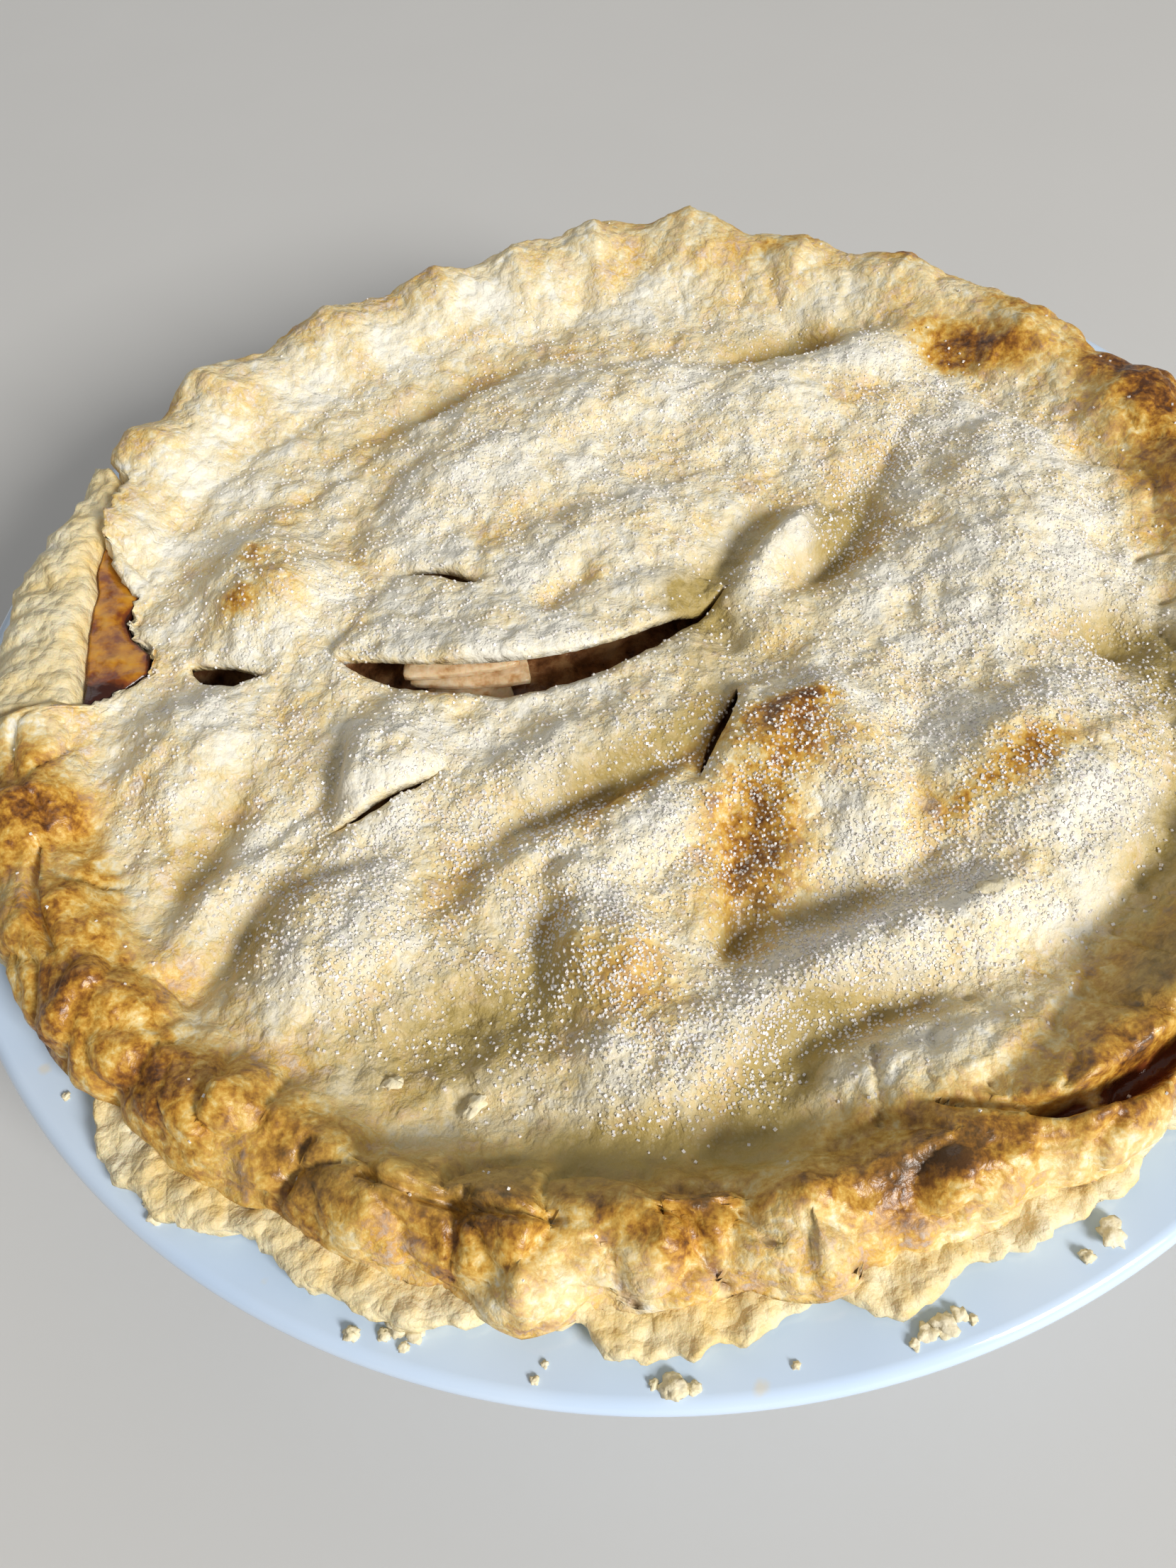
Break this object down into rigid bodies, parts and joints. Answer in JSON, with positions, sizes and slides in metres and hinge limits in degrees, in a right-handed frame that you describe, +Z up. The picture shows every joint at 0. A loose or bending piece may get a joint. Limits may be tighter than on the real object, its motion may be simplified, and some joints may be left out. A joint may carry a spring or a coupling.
{
  "type": "apple pie",
  "caption": "Home-baked double-crust apple pie with a pinched golden rim, a lumpy sugared lid with steam vents, in a white ceramic pie dish.",
  "frame": {"origin": "centre of the dish, at the height of its foot ring's underside", "axes": "+Z up. -Y towards the viewer of the picture, with +X to the viewer's right"},
  "size_m": [0.28, 0.28, 0.0628],
  "materials": {
    "white_glaze": "cool white gloss glaze",
    "lining_pastry": "baked pastry, pale to golden",
    "cinnamon_filling": "moist brown cinnamon and apple filling",
    "lid_pastry": "baked pastry, cream to deep golden brown, sugared",
    "dark_syrup": "glossy amber apple syrup",
    "apple_flesh": "moist cooked apple"
  },
  "bodies": {
    "root": {"dish": "white_glaze", "bottom_crust": "lining_pastry", "filling": "cinnamon_filling", "top_crust": "lid_pastry", "syrup": "dark_syrup", "apple_slice_upper": "apple_flesh", "apple_slice_middle": "apple_flesh", "apple_slice_lower": "apple_flesh"}
  },
  "joints": []
}
